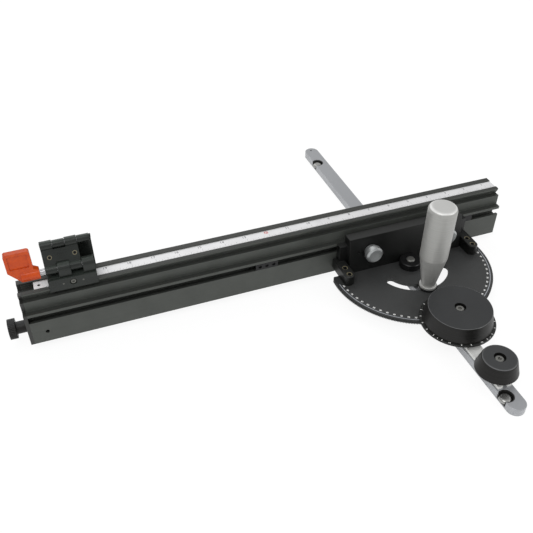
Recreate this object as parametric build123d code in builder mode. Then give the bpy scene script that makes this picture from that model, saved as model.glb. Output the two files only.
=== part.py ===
from build123d import *
from math import radians, tan
import os

# Miter gauge for a saw table, in millimetres.
# Origin: the pivot axis where it meets the underside of the bar.
# X runs along the fence, Y along the bar away from the operator, Z up.

# Fits shared by all pieces
running = 0.05          # radial clearance of a shaft in its bore
seat = 0.05             # gap between flat faces that slide on each other
sliding = 0.3           # clearance of a block in a slot

# Bar that rides in the table slot
bar_width = 19.05
bar_height = 9.525
bar_near = -217.0
bar_far = 297.0
bar_edge = 0.5
bar_tip_hole_y = 290.5
bar_tip_hole_r = 1.6
blind_floor = 2.5       # metal left under every blind hole in the bar

# Expansion discs that take up the play in the table slot
disc_r = 8.0
disc_offset = -4.8
disc_near_y = -197.5
disc_far_y = 255.5
disc_floor = 2.0
disc_cup_r = 7.1
disc_cup_floor = 2.2
disc_slit = 1.2
disc_sink = 0.3
disc_screw_r = 2.5
disc_head_r = 6.4
disc_head_h = 3.4
disc_head_round = 3.1
disc_slit_turn = 235.0  # degrees from +X

# Protractor plate and its rim teeth
plate_bottom = 13.3
plate_top = 17.3
rim_tooth_step = 1.0    # degrees
rim_span = 188.0        # degrees between the outermost teeth
knob_y = -100.0         # axis of the micro adjust knob
pinion_teeth = 24
tooth_addendum = 0.5
tooth_dedendum = 0.6
tooth_half = 0.33       # half thickness at the pitch circle
tooth_bury = 0.3        # how far a tooth reaches into its wheel
tooth_flank = 20.0      # degrees
plate_back = 10.6
hub_r = 16.0
plate_corner = 2.0
stud_orbit = 40.0       # handle stud to pivot
slot_orbit = 38.8       # middle of the arc slot to pivot
slot_half = 5.2
slot_swing = 61.0       # degrees each side to the centre of the slot's end

# Pivot
pivot_r = 5.0
pivot_thread_r = 4.0
pivot_collar_r = 12.4
pivot_collar_top = 25.5
pivot_dome_h = 1.6

# Fence bracket on the plate
bracket_front = 10.0
bracket_top_front = 16.4
bracket_top = 60.0
step_half = 82.0
step_reach = 9.5        # how far each end step stands out from the flange
step_front = 20.0
step_top = 50.0
ear_inset = 2.0         # ear axis, in from the end of the step
ear_r = 6.0
ear_edge = 1.2
ear_front = -3.5
ear_top = 30.0
ear_screw_ys = (8.0, -3.5)
ear_screw_r = 2.0
ear_head_r = 3.3
ear_head_h = 4.0
ear_head_sink = 0.6
pilot_x = -61.0         # small blind hole beside the left clamp
pilot_r = 1.4
pilot_depth = 5.0

# Fence extrusion
fence_left = -421.7
fence_right = 134.3
fence_front = 28.0
fence_back = 62.2
fence_bottom = 10.0
fence_top = 69.45
fence_wall = 3.0
face_step_z = 49.6      # top of the lip over the front slot
face_step_y = 34.3      # upper face, set back from the lower one
ledge_z = 61.8
rail_neck = 40.4
rail_tip = 37.6
rail_tip_z = 67.6
slot_low = 38.3
slot_high = 46.2
slot_lip = 3.0
slot_room_low = 35.0
slot_room_high = 48.0
slot_room_back = 38.0
fence_room_front = 41.0
fence_room_top = 59.0
track_front = 42.5
track_back = 55.6
track_floor = 63.5
track_wall = 1.0        # how far the ruler reaches into each wall
fence_hole_x = -406.2   # tapped hole in the lower front face
fence_hole_z = 23.4
fence_hole_r = 2.1
work_groove = 2.6

# Ruler in the top track
ruler_top = 68.4
ruler_thick = 1.2
ruler_left = -409.0
ruler_hole = 5.2        # in from its left end
ruler_hole_r = 1.6

# Fence clamps
clamp_left_x = -46.4
clamp_right_x = 49.8
clamp_z = 42.25
clamp_r = 10.0
clamp_front = 1.0
clamp_neck_r = 7.6
clamp_neck_length = 4.6
clamp_seat = 13.8       # spot face in the bracket under each clamp knob
clamp_seat_margin = 0.8
clamp_shank_r = 3.0
clamp_front_edge = 2.0
clamp_back_edge = 0.8
nut_left = -78.0
nut_right = 96.7
nut_back = 35.5

# Block clamped in the front slot
block_left = -179.4
block_length = 25.9
block_screw_r = 2.0
block_screw_pitch = 8.0
block_screw_sink = 1.5

# Telescoping extension
extension_right = 110.0
extension_wall = 2.5
cap_thick = 3.6
cap_screw_y = 50.0
cap_screw_zs = (38.0, 52.0)
cap_screw_r = 2.0
cap_head_r = 4.0
lock_y = 46.6
lock_z = 21.0
lock_shank_r = 6.6
lock_shank_length = 11.0
lock_head_r = 10.8
lock_head_length = 7.5
lock_thread_r = 2.5
lock_thread_length = 22.0
lock_teeth = 36
lock_tooth_r = 0.45
lock_block_length = 16.0

# Flip stop on the top rails
stop_left = -394.0
stop_width = 48.0
jaw_front = 35.8
jaw_thick = 3.2
jaw_top = 80.0
hook_low = 65.4
hook_reach = 38.4
hook_room = 0.2         # where the hook's slope starts, under the tip of the rail
jaw_edge = 0.6
back_hook_drop = 1.0    # how far the back hook's slope ends under the tip of the rail
stop_back = 65.4
stop_body_top = 80.6
stop_bevel = 4.0
low_pin_y = 45.0
low_pin_z = 87.2
low_pin_r = 3.0
low_barrel_r = 6.8
link_barrel_r = 4.9
high_pin_y = 58.0
high_pin_z = 108.0
high_pin_r = 1.8
high_barrel_r = 4.9
link_thick = 4.6
knuckle_gap = 0.3
arm_left = -394.5
arm_width = 50.5
arm_front = 66.0
arm_thick = 4.0
arm_low = 14.0
arm_shoulder = 102.3    # where the sloping roof of the arm meets its back
arm_barrel_r = 4.2
link_screw_r = 2.3
link_screw_left = 6.8    # in from the left end of the link
link_screw_right = 31.4
link_screw_sink = 0.3
jaw_recess_r = 3.5
jaw_screw_r = 2.6
jaw_shank_r = 1.5
jaw_screw_sink = 0.7
jaw_recess_floor = 1.0
jaw_socket_floor = 0.5
jaw_pin_r = 0.9
jaw_pin_pitch = 19.6

# Cam lever on the lower pin of the flip stop
cam_gap = 5.3
cam_hub_r = 5.5
cam_hub_length = 17.7
paddle_left = -428.5
paddle_width = 24.5
paddle_low = 95.5
paddle_high = 117.3
paddle_thick = 6.0
paddle_corner = 2.6
paddle_border = 3.0
paddle_recess = 1.0

# Index slide under the micro adjust knob
slide_thick = 3.0
slide_half = 8.0
slide_far = -90.0
slide_near = -188.0
slide_travel = 6.0
key_half = 2.5
key_depth = 2.0
key_far = -122.0
key_near = -148.0
key_margin = 1.0        # room at each end of the key's groove

# Micro adjust knob
dial_r = 39.9
dial_bottom = 20.0
dial_thick = 1.9
knob_low_r = 37.2
knob_top_r = 33.4
knob_top = 39.1
knob_recess_r = 6.0
knob_recess_depth = 4.6
knob_bolt_r = 3.0
knob_bolt_head_r = 4.3
knob_bolt_head_h = 2.6
knob_edge = 0.8
socket_depth = 1.8      # hexagon sockets of the knob bolts
screw_edge = 0.4

# Index clamp knob
index_y = -171.0
index_low_r = 21.7
index_top_r = 17.2
index_bottom = 19.3
index_top = 35.2
index_neck_r = 8.0
index_recess_r = 6.0
index_bolt_r = 2.5
index_bolt_head_r = 4.3
index_edge = 2.4

# Locking handle
washer_r = 10.7
washer_thick = 2.0
collar_r = 9.7
collar_h = 2.2
handle_foot_r = 7.6
handle_cone_top = 62.0
handle_cone_r = 15.1
handle_top_r = 15.3
handle_top = 126.5
handle_round = 5.0
handle_stud_r = 3.0
handle_bore_top = 45.0

# Values worked out from the sizes above
mesh_sum = -knob_y
rim_teeth_full = 360.0 / rim_tooth_step
module = 2 * mesh_sum / (rim_teeth_full + pinion_teeth)
rim_pitch_r = module * rim_teeth_full / 2
pinion_pitch_r = module * pinion_teeth / 2
rim_root_r = rim_pitch_r - tooth_dedendum
pinion_root_r = pinion_pitch_r - tooth_dedendum
slide_top = bar_height + slide_thick
pinion_bottom = slide_top + seat
stud_y = -stud_orbit
fence_length = fence_right - fence_left
ruler_low = ruler_top - ruler_thick
bracket_half = step_half - step_reach
ear_x = step_half - ear_inset


def finish(builder, name):
    """Label a finished piece and write it to its own file."""
    builder.part.label = name
    export_step(builder.part, f"parts/{name}.step")


def window(left, right, low, high, mode=Mode.ADD):
    """A rectangle given by its four sides."""
    with Locations(((left + right) / 2, (low + high) / 2)):
        Rectangle(right - left, high - low, mode=mode)


def tooth(reach_in, reach_out):
    """One straight-flanked tooth, pointing along local X from the pitch circle."""
    slope = tan(radians(tooth_flank))
    foot = tooth_half + reach_in * slope
    tip = tooth_half - reach_out * slope
    Polygon((-reach_in, -foot), (reach_out, -tip), (reach_out, tip), (-reach_in, foot), align=None)


def turned(centre_x, centre_y, steps):
    """A stack of cylinders on one upright axis, as (radius, low, high)."""
    for radius, low, high in steps:
        with BuildSketch(Plane.XY.offset(low)) as disc:
            with Locations((centre_x, centre_y)):
                Circle(radius)
        extrude(disc.sketch, amount=high - low)


def bore(centre_x, centre_y, radius, low, high):
    """An upright round hole."""
    with BuildSketch(Plane.XY.offset(low)) as disc:
        with Locations((centre_x, centre_y)):
            Circle(radius)
    extrude(disc.sketch, amount=high - low, mode=Mode.SUBTRACT)


def fence_outline():
    """Outer section of the fence, without its slots and rooms."""
    rail_mid = fence_back - work_groove
    with BuildLine() as outline:
        Polyline(
            (fence_front, fence_bottom),
            (fence_front, face_step_z),
            (face_step_y, face_step_z),
            (face_step_y, ledge_z),
            (rail_neck, ledge_z),
            (rail_tip, rail_tip_z),
            (rail_tip, fence_top),
            (fence_back, fence_top),
            (fence_back, rail_tip_z),
            (rail_mid, ledge_z),
            (fence_back, ledge_z),
            (fence_back, fence_bottom),
            close=True,
        )
    make_face(outline.edges())


os.makedirs("parts", exist_ok=True)

# Miter bar: flat bar with round ends, blind threaded holes and two disc pockets
bar_end_r = bar_width / 2
with BuildPart() as miter_bar:
    with BuildSketch() as bar_plan:
        with BuildLine():
            Line((-bar_end_r, bar_near + bar_end_r), (-bar_end_r, bar_far - bar_end_r))
            RadiusArc((-bar_end_r, bar_far - bar_end_r), (bar_end_r, bar_far - bar_end_r), bar_end_r)
            Line((bar_end_r, bar_far - bar_end_r), (bar_end_r, bar_near + bar_end_r))
            RadiusArc((bar_end_r, bar_near + bar_end_r), (-bar_end_r, bar_near + bar_end_r), bar_end_r)
        make_face()
    extrude(amount=bar_height)
    chamfer(miter_bar.faces().sort_by(Axis.Z)[-1].edges(), length=bar_edge)
    chamfer(miter_bar.faces().sort_by(Axis.Z)[0].edges(), length=bar_edge)
    with BuildSketch(Plane.XY.offset(bar_height)):
        window(-key_half, key_half, key_near - slide_travel - key_margin, key_far + key_margin)
    extrude(amount=-key_depth, mode=Mode.SUBTRACT)
    for hole_y in (disc_near_y, disc_far_y):
        bore(disc_offset, hole_y, disc_r, disc_floor, bar_height)
        bore(disc_offset, hole_y, disc_screw_r, 0, disc_floor)
    bore(0, bar_tip_hole_y, bar_tip_hole_r, 0, bar_height)
    bore(0, 0, pivot_thread_r, blind_floor, bar_height)
    bore(0, stud_y, handle_stud_r, blind_floor, bar_height)
    bore(0, index_y, index_bolt_r, blind_floor, bar_height)
finish(miter_bar, "miter_bar")

# Expansion discs: split cups that fill the pockets and reach the side of the bar
with BuildPart() as expansion_discs:
    for hole_y in (disc_near_y, disc_far_y):
        with BuildSketch(Plane.XY.offset(disc_floor)):
            with Locations((disc_offset, hole_y)):
                Circle(disc_r)
            window(-bar_width, -bar_width / 2, hole_y - disc_r, hole_y + disc_r, mode=Mode.SUBTRACT)
            with Locations(Location((disc_offset, hole_y), disc_slit_turn)):
                with Locations((disc_r, 0)):
                    Rectangle(2 * disc_r, disc_slit, mode=Mode.SUBTRACT)
        extrude(amount=bar_height - disc_sink - disc_floor)
        bore(disc_offset, hole_y, disc_cup_r, disc_floor + disc_cup_floor, bar_height)
        bore(disc_offset, hole_y, disc_screw_r, disc_floor, bar_height)
finish(expansion_discs, "expansion_discs")

# Domed screws that spread the discs
with BuildPart() as disc_screws:
    for hole_y in (disc_near_y, disc_far_y):
        head_low = disc_floor + disc_cup_floor
        head_high = head_low + disc_head_h
        steps = [(disc_screw_r, bar_edge, head_low), (disc_head_r, head_low, head_high)]
        turned(disc_offset, hole_y, steps)
    fillet(disc_screws.faces().group_by(Axis.Z)[-1].edges(), radius=disc_head_round)
finish(disc_screws, "disc_screws")

# Protractor plate: toothed sector with an arc slot and a hub under it
plate_thick = plate_top - plate_bottom
rim_count = int(rim_span / rim_tooth_step) + 1
with BuildSketch() as rim_teeth:
    with PolarLocations(rim_pitch_r, rim_count, -90 - rim_span / 2, rim_span, endpoint=True):
        tooth(tooth_dedendum + tooth_bury, tooth_addendum)
    # No tooth stands on the rounded corners
    window(-2 * mesh_sum, 2 * mesh_sum, plate_back - plate_corner, 2 * mesh_sum, mode=Mode.SUBTRACT)

with BuildPart() as protractor_plate:
    with BuildSketch(Plane.XY.offset(plate_bottom)) as plate_plan:
        Circle(rim_root_r)
        window(-2 * mesh_sum, 2 * mesh_sum, plate_back, 2 * mesh_sum, mode=Mode.SUBTRACT)
        fillet(plate_plan.vertices(), radius=plate_corner)
        add(rim_teeth.sketch)
        window(-step_half, step_half, plate_back, fence_front)
        swing_start = Vector(slot_orbit, 0).rotate(Axis.Z, -90 - slot_swing)
        swing_end = Vector(slot_orbit, 0).rotate(Axis.Z, -90 + slot_swing)
        with BuildLine(mode=Mode.PRIVATE) as slot_path:
            ThreePointArc(swing_start, (0, -slot_orbit), swing_end)
        SlotArc(slot_path.edges()[0], 2 * slot_half, mode=Mode.SUBTRACT)
    extrude(amount=plate_thick)
    turned(0, 0, [(hub_r, bar_height, plate_bottom)])
    bore(0, 0, pivot_r + running, bar_height, plate_top)
finish(protractor_plate, "protractor_plate")

# Fence bracket: leaning flange, two end steps and two ears screwed to the plate
with BuildPart() as fence_bracket:
    with BuildSketch(Plane.XY.offset(plate_top)):
        for side in (-1, 1):
            with Locations((side * ear_x, ear_front)):
                Circle(ear_r)
            window(side * ear_x - ear_r, side * ear_x + ear_r, ear_front, fence_front)
    extrude(amount=ear_top - plate_top)
    fillet(fence_bracket.faces().group_by(Axis.Z)[-1].edges(), radius=ear_edge)
    with BuildSketch(Plane.YZ.offset(-bracket_half)):
        with BuildLine():
            Polyline(
                (bracket_front, plate_top),
                (bracket_top_front, bracket_top),
                (fence_front, bracket_top),
                (fence_front, plate_top),
                close=True,
            )
        make_face()
    extrude(amount=2 * bracket_half)
    with BuildSketch(Plane.XZ.offset(-fence_front)):
        window(-step_half, step_half, plate_top, step_top)
    extrude(amount=fence_front - step_front)
    for side in (-1, 1):
        for screw_y in ear_screw_ys:
            bore(side * ear_x, screw_y, ear_screw_r, plate_top, ear_top)
            bore(side * ear_x, screw_y, ear_head_r, ear_top - ear_head_h - ear_head_sink, ear_top)
    for clamp_x in (clamp_left_x, clamp_right_x):
        with BuildSketch(Plane.XZ.offset(-fence_front)):
            with Locations((clamp_x, clamp_z)):
                Circle(clamp_shank_r + sliding)
        extrude(amount=fence_front - clamp_seat, mode=Mode.SUBTRACT)
        with BuildSketch(Plane.XZ.offset(-clamp_seat)):
            with Locations((clamp_x, clamp_z)):
                Circle(clamp_r + clamp_seat_margin)
        extrude(amount=clamp_seat - bracket_front, mode=Mode.SUBTRACT)
    with BuildSketch(Plane.XZ.offset(-bracket_front)):
        with Locations((pilot_x, clamp_z)):
            Circle(pilot_r)
    extrude(amount=-pilot_depth, mode=Mode.SUBTRACT)
    bore(0, 0, pivot_collar_r + sliding, plate_top, pivot_collar_top + sliding)
finish(fence_bracket, "fence_bracket")

# Cap screws that hold the bracket's ears down
with BuildPart() as bracket_screws:
    for side in (-1, 1):
        for screw_y in ear_screw_ys:
            head_low = ear_top - ear_head_h - ear_head_sink
            head_high = ear_top - ear_head_sink
            steps = [(ear_screw_r, plate_top, head_low), (ear_head_r, head_low, head_high)]
            turned(side * ear_x, screw_y, steps)
            with BuildSketch(Plane.XY.offset(head_high)):
                with Locations((side * ear_x, screw_y)):
                    RegularPolygon(ear_head_r / 2, 6)
            extrude(amount=-ear_head_h / 2, mode=Mode.SUBTRACT)
finish(bracket_screws, "bracket_screws")

# Pivot bolt with a domed head, and the collar that holds the plate down
with BuildPart() as pivot_bolt:
    dome_top = pivot_collar_top + pivot_dome_h
    turned(0, 0, [(pivot_thread_r, blind_floor, bar_height), (pivot_r, bar_height, dome_top)])
    fillet(pivot_bolt.faces().sort_by(Axis.Z)[-1].edges(), radius=pivot_dome_h - seat)
finish(pivot_bolt, "pivot_bolt")

with BuildPart() as pivot_collar:
    turned(0, 0, [(pivot_collar_r, plate_top + seat, pivot_collar_top)])
    chamfer(pivot_collar.faces().sort_by(Axis.Z)[-1].edges(), length=knob_edge)
    bore(0, 0, pivot_r, plate_top, pivot_collar_top)
finish(pivot_collar, "pivot_collar")

# Locking handle on its stud
handle_plane = Plane.XZ.offset(stud_orbit)
washer_low = plate_top + seat
collar_low = washer_low + washer_thick
cone_low = collar_low + collar_h
handle_shoulder = handle_top - handle_round
handle_flat_r = handle_top_r - handle_round
with BuildPart() as handle_stud:
    turned(0, stud_y, [(handle_stud_r, blind_floor, handle_bore_top)])
finish(handle_stud, "handle_stud")

with BuildPart() as handle_washer:
    turned(0, stud_y, [(washer_r, washer_low, collar_low)])
    bore(0, stud_y, handle_stud_r + running, washer_low, collar_low)
finish(handle_washer, "handle_washer")

with BuildPart() as lock_handle:
    with BuildSketch(handle_plane):
        with BuildLine():
            Polyline(
                (0, collar_low),
                (collar_r, collar_low),
                (collar_r, cone_low),
                (handle_foot_r, cone_low),
                (handle_cone_r, handle_cone_top),
                (handle_top_r, handle_shoulder),
            )
            RadiusArc((handle_top_r, handle_shoulder), (handle_flat_r, handle_top), -handle_round)
            Polyline((handle_flat_r, handle_top), (0, handle_top), (0, collar_low))
        make_face()
    revolve(axis=Axis((0, stud_y, 0), (0, 0, 1)))
    bore(0, stud_y, handle_stud_r + running, collar_low, handle_bore_top)
finish(lock_handle, "lock_handle")

# Index slide: slotted plate with a key that runs in the bar's groove
with BuildPart() as index_slide:
    with BuildSketch(Plane.XY.offset(bar_height)):
        window(-slide_half, slide_half, slide_near, slide_far)
        slot_end = index_y + slide_travel + index_bolt_r
        window(-index_bolt_r - running, index_bolt_r + running, slide_near, slot_end, mode=Mode.SUBTRACT)
        with Locations((0, slot_end)):
            Circle(index_bolt_r + running, mode=Mode.SUBTRACT)
    extrude(amount=slide_thick)
    chamfer(index_slide.faces().sort_by(Axis.Z)[-1].edges(), length=bar_edge / 2)
    with BuildSketch(Plane.XY.offset(bar_height)):
        window(running - key_half, key_half - running, key_near, key_far)
    extrude(amount=seat - key_depth)
    bore(0, knob_y, knob_bolt_r, bar_height, slide_top)
finish(index_slide, "index_slide")

# Shoulder bolt that carries the micro adjust knob
bolt_head_low = knob_top - knob_recess_depth + seat
bolt_head_high = bolt_head_low + knob_bolt_head_h
with BuildPart() as knob_bolt:
    turned(0, knob_y, [(knob_bolt_r, bar_height + seat, bolt_head_low)])
    turned(0, knob_y, [(knob_bolt_head_r, bolt_head_low, bolt_head_high)])
    chamfer(knob_bolt.faces().sort_by(Axis.Z)[-1].edges(), length=screw_edge)
    with BuildSketch(Plane.XY.offset(bolt_head_high)):
        with Locations((0, knob_y)):
            RegularPolygon(knob_bolt_head_r / 2, 6)
    extrude(amount=-socket_depth, mode=Mode.SUBTRACT)
finish(knob_bolt, "knob_bolt")

# Pinion, dial and grip of the micro adjust knob
with BuildPart() as knob_pinion:
    with BuildSketch(Plane.XY.offset(pinion_bottom)):
        with Locations((0, knob_y)):
            Circle(pinion_root_r)
            with PolarLocations(pinion_pitch_r, pinion_teeth, 90 + 180 / pinion_teeth):
                tooth(tooth_dedendum + tooth_bury, tooth_addendum)
            Circle(knob_bolt_r + running, mode=Mode.SUBTRACT)
    extrude(amount=dial_bottom - pinion_bottom)
finish(knob_pinion, "knob_pinion")

dial_top = dial_bottom + dial_thick
with BuildPart() as knob_dial:
    turned(0, knob_y, [(dial_r, dial_bottom, dial_top)])
    chamfer(knob_dial.faces().sort_by(Axis.Z)[-1].edges(), length=dial_thick / 3)
    bore(0, knob_y, knob_bolt_r + running, dial_bottom, dial_top)
finish(knob_dial, "knob_dial")

with BuildPart() as micro_knob:
    with BuildSketch(Plane.XZ.offset(-knob_y)):
        with BuildLine():
            Polyline((0, dial_top), (knob_low_r, dial_top), (knob_top_r, knob_top), (0, knob_top), close=True)
        make_face()
    revolve(axis=Axis((0, knob_y, 0), (0, 0, 1)))
    fillet(micro_knob.faces().sort_by(Axis.Z)[-1].edges(), radius=knob_edge)
    bore(0, knob_y, knob_recess_r, knob_top - knob_recess_depth, knob_top)
    bore(0, knob_y, knob_bolt_r + running, dial_top, knob_top)
finish(micro_knob, "micro_knob")

# Index clamp knob and its screw
with BuildPart() as index_knob:
    with BuildSketch(Plane.XZ.offset(-index_y)):
        with BuildLine():
            Polyline(
                (0, slide_top + seat),
                (index_neck_r, slide_top + seat),
                (index_neck_r, index_bottom),
                (index_low_r, index_bottom),
                (index_top_r, index_top),
                (0, index_top),
                close=True,
            )
        make_face()
    revolve(axis=Axis((0, index_y, 0), (0, 0, 1)))
    fillet(index_knob.faces().sort_by(Axis.Z)[-1].edges(), radius=index_edge)
    bore(0, index_y, index_recess_r, index_top - knob_recess_depth, index_top)
    bore(0, index_y, index_bolt_r, slide_top, index_top)
finish(index_knob, "index_knob")

with BuildPart() as index_screw:
    head_low = index_top - knob_recess_depth
    head_high = head_low + knob_bolt_head_h
    turned(0, index_y, [(index_bolt_r - running, blind_floor, slide_top)])
    turned(0, index_y, [(index_bolt_r, slide_top, head_low)])
    turned(0, index_y, [(index_bolt_head_r, head_low, head_high)])
    chamfer(index_screw.faces().sort_by(Axis.Z)[-1].edges(), length=screw_edge)
    with BuildSketch(Plane.XY.offset(head_high)):
        with Locations((0, index_y)):
            RegularPolygon(index_bolt_head_r / 2, 6)
    extrude(amount=-socket_depth, mode=Mode.SUBTRACT)
finish(index_screw, "index_screw")

# Fence extrusion: stepped section with a front slot, a top track and two rooms
with BuildPart() as fence_extrusion:
    with BuildSketch(Plane.YZ.offset(fence_left)):
        fence_outline()
        window(fence_front, fence_front + slot_lip, slot_low, slot_high, mode=Mode.SUBTRACT)
        window(fence_front + slot_lip, slot_room_back, slot_room_low, slot_room_high, mode=Mode.SUBTRACT)
        window(
            fence_room_front,
            fence_back - fence_wall,
            fence_bottom + fence_wall,
            fence_room_top,
            mode=Mode.SUBTRACT,
        )
        window(
            fence_front + fence_wall,
            slot_room_back,
            fence_bottom + fence_wall,
            slot_room_low - fence_wall,
            mode=Mode.SUBTRACT,
        )
        window(track_front, track_back, track_floor, fence_top, mode=Mode.SUBTRACT)
        window(track_front - track_wall, track_back + track_wall, ruler_low, ruler_top, mode=Mode.SUBTRACT)
    extrude(amount=fence_length)
    with BuildSketch(Plane.XZ.offset(-fence_front - fence_wall)):
        with Locations((fence_hole_x, fence_hole_z)):
            Circle(fence_hole_r)
    extrude(amount=fence_wall, mode=Mode.SUBTRACT)
finish(fence_extrusion, "fence_extrusion")

# Ruler slid into the track
with BuildPart() as ruler:
    with BuildSketch(Plane.XY.offset(ruler_low)):
        window(ruler_left, fence_right, track_front - track_wall, track_back + track_wall)
        with Locations((ruler_left + ruler_hole, (track_front + track_back) / 2)):
            Circle(ruler_hole_r, mode=Mode.SUBTRACT)
    extrude(amount=ruler_thick)
finish(ruler, "ruler")

# Nut bar in the front slot, drawn up by the two clamp knobs
nut_neck_low = slot_low + sliding
nut_neck_high = slot_high - sliding
nut_front = fence_front + slot_lip + sliding
with BuildPart() as slot_nut_bar:
    with BuildSketch(Plane.YZ.offset(nut_left)):
        window(fence_front + seat, nut_front, nut_neck_low, nut_neck_high)
        window(nut_front, nut_back, slot_room_low + sliding, slot_room_high - sliding)
    extrude(amount=nut_right - nut_left)
    for clamp_x in (clamp_left_x, clamp_right_x):
        with BuildSketch(Plane.XZ.offset(-fence_front)):
            with Locations((clamp_x, clamp_z)):
                Circle(clamp_shank_r + running)
        extrude(amount=fence_front - nut_back, mode=Mode.SUBTRACT)
finish(slot_nut_bar, "slot_nut_bar")

# Clamp knobs: turned thumb heads on their bolts
clamp_back = clamp_seat - seat
for clamp_x, clamp_name in ((clamp_left_x, "clamp_knob_left"), (clamp_right_x, "clamp_knob_right")):
    with BuildPart() as clamp_knob:
        with BuildSketch(Plane.XZ.offset(clamp_neck_length - clamp_back)):
            with Locations((clamp_x, clamp_z)):
                Circle(clamp_r)
        extrude(amount=clamp_back - clamp_neck_length - clamp_front)
        chamfer(clamp_knob.faces().sort_by(Axis.Y)[0].edges(), length=clamp_front_edge)
        chamfer(clamp_knob.faces().sort_by(Axis.Y)[-1].edges(), length=clamp_back_edge)
        with BuildSketch(Plane.XZ.offset(-clamp_back)):
            with Locations((clamp_x, clamp_z)):
                Circle(clamp_neck_r)
        extrude(amount=clamp_neck_length)
        with BuildSketch(Plane.XZ.offset(-nut_back)):
            with Locations((clamp_x, clamp_z)):
                Circle(clamp_shank_r)
        extrude(amount=nut_back - clamp_back)
    finish(clamp_knob, clamp_name)

# Stop block in the front slot, with its three set screws
block_right = block_left + block_length
block_mid = (block_left + block_right) / 2
block_screw_xs = [block_mid + step * block_screw_pitch for step in (-1, 0, 1)]
with BuildPart() as slot_block:
    with BuildSketch(Plane.YZ.offset(block_left)):
        window(fence_front + seat, nut_front, nut_neck_low, nut_neck_high)
        window(nut_front, nut_back, slot_room_low + sliding, slot_room_high - sliding)
    extrude(amount=block_length)
    for screw_x in block_screw_xs:
        with BuildSketch(Plane.XZ.offset(-fence_front)):
            with Locations((screw_x, clamp_z)):
                Circle(block_screw_r)
        extrude(amount=fence_front - nut_back, mode=Mode.SUBTRACT)
finish(slot_block, "slot_block")

with BuildPart() as block_screws:
    for screw_x in block_screw_xs:
        with BuildSketch(Plane.XZ.offset(-nut_back)):
            with Locations((screw_x, clamp_z)):
                Circle(block_screw_r)
        extrude(amount=nut_back - fence_front - block_screw_sink)
finish(block_screws, "block_screws")

# Telescoping extension: tube in the fence's rear room, closed by an end cap
tube_front = fence_room_front + sliding
tube_back = fence_back - fence_wall - sliding
tube_low = fence_bottom + fence_wall + sliding
tube_high = fence_room_top - sliding
room_front = tube_front + extension_wall
room_back = tube_back - extension_wall
room_low = tube_low + extension_wall
room_high = tube_high - extension_wall
with BuildPart() as extension_bar:
    with BuildSketch(Plane.YZ.offset(fence_left)):
        window(tube_front, tube_back, tube_low, tube_high)
        window(room_front, room_back, room_low, room_high, mode=Mode.SUBTRACT)
    extrude(amount=extension_right - fence_left)
finish(extension_bar, "extension_bar")

with BuildPart() as extension_plug:
    with BuildSketch(Plane.YZ.offset(fence_left)):
        window(room_front, room_back, room_low, room_high)
        with Locations((lock_y, lock_z)):
            Circle(lock_thread_r + running, mode=Mode.SUBTRACT)
        with Locations(*[(cap_screw_y, screw_z) for screw_z in cap_screw_zs]):
            Circle(cap_screw_r, mode=Mode.SUBTRACT)
    extrude(amount=lock_block_length)
finish(extension_plug, "extension_plug")

cap_left = fence_left - cap_thick
with BuildPart() as extension_cap:
    with BuildSketch(Plane.YZ.offset(cap_left)):
        fence_outline()
        window(track_front, track_back, track_floor, fence_top, mode=Mode.SUBTRACT)
        with Locations((lock_y, lock_z)):
            Circle(lock_thread_r + running, mode=Mode.SUBTRACT)
        with Locations(*[(cap_screw_y, screw_z) for screw_z in cap_screw_zs]):
            Circle(cap_screw_r, mode=Mode.SUBTRACT)
    extrude(amount=cap_thick)
    with BuildSketch(Plane.YZ.offset(cap_left)):
        with Locations(*[(cap_screw_y, screw_z) for screw_z in cap_screw_zs]):
            Circle(cap_head_r)
    extrude(amount=cap_thick / 2, mode=Mode.SUBTRACT)
finish(extension_cap, "extension_cap")

with BuildPart() as cap_screws:
    with BuildSketch(Plane.YZ.offset(cap_left)):
        with Locations(*[(cap_screw_y, screw_z) for screw_z in cap_screw_zs]):
            Circle(cap_head_r)
    extrude(amount=cap_thick / 2)
    with BuildSketch(Plane.YZ.offset(cap_left + cap_thick / 2)):
        with Locations(*[(cap_screw_y, screw_z) for screw_z in cap_screw_zs]):
            Circle(cap_screw_r)
    extrude(amount=lock_block_length)
finish(cap_screws, "cap_screws")

# Knurled thumbscrew that locks the extension
lock_face = cap_left - seat
with BuildPart() as lock_screw:
    with BuildSketch(Plane.YZ.offset(lock_face - lock_shank_length - lock_head_length)):
        with Locations((lock_y, lock_z)):
            Circle(lock_head_r)
            with PolarLocations(lock_head_r, lock_teeth):
                Circle(lock_tooth_r, mode=Mode.SUBTRACT)
    extrude(amount=lock_head_length)
    with BuildSketch(Plane.YZ.offset(lock_face - lock_shank_length)):
        with Locations((lock_y, lock_z)):
            Circle(lock_shank_r)
    extrude(amount=lock_shank_length)
    with BuildSketch(Plane.YZ.offset(lock_face)):
        with Locations((lock_y, lock_z)):
            Circle(lock_thread_r)
    extrude(amount=lock_thread_length)
finish(lock_screw, "lock_screw")

# Flip stop: body that straddles the rails, with two hinge knuckles
knuckle_width = stop_width / 4
link_width = 3 * knuckle_width - knuckle_gap
body_front = jaw_front + jaw_thick
jaw_screw_x = stop_left + stop_width / 2
jaw_screw_z = (rail_tip_z + jaw_top) / 2
jaw_pin_xs = (jaw_screw_x - jaw_pin_pitch / 2, jaw_screw_x + jaw_pin_pitch / 2)
stop_floor = fence_top + seat
recess_depth = jaw_thick - jaw_recess_floor


def barrel(centre_y, centre_z, radius, left, width, mode=Mode.ADD):
    """A round bar, or with Mode.SUBTRACT a hole, along X."""
    with BuildSketch(Plane.YZ.offset(left)) as disc:
        with Locations((centre_y, centre_z)):
            Circle(radius)
    extrude(disc.sketch, amount=width, mode=mode)


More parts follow.
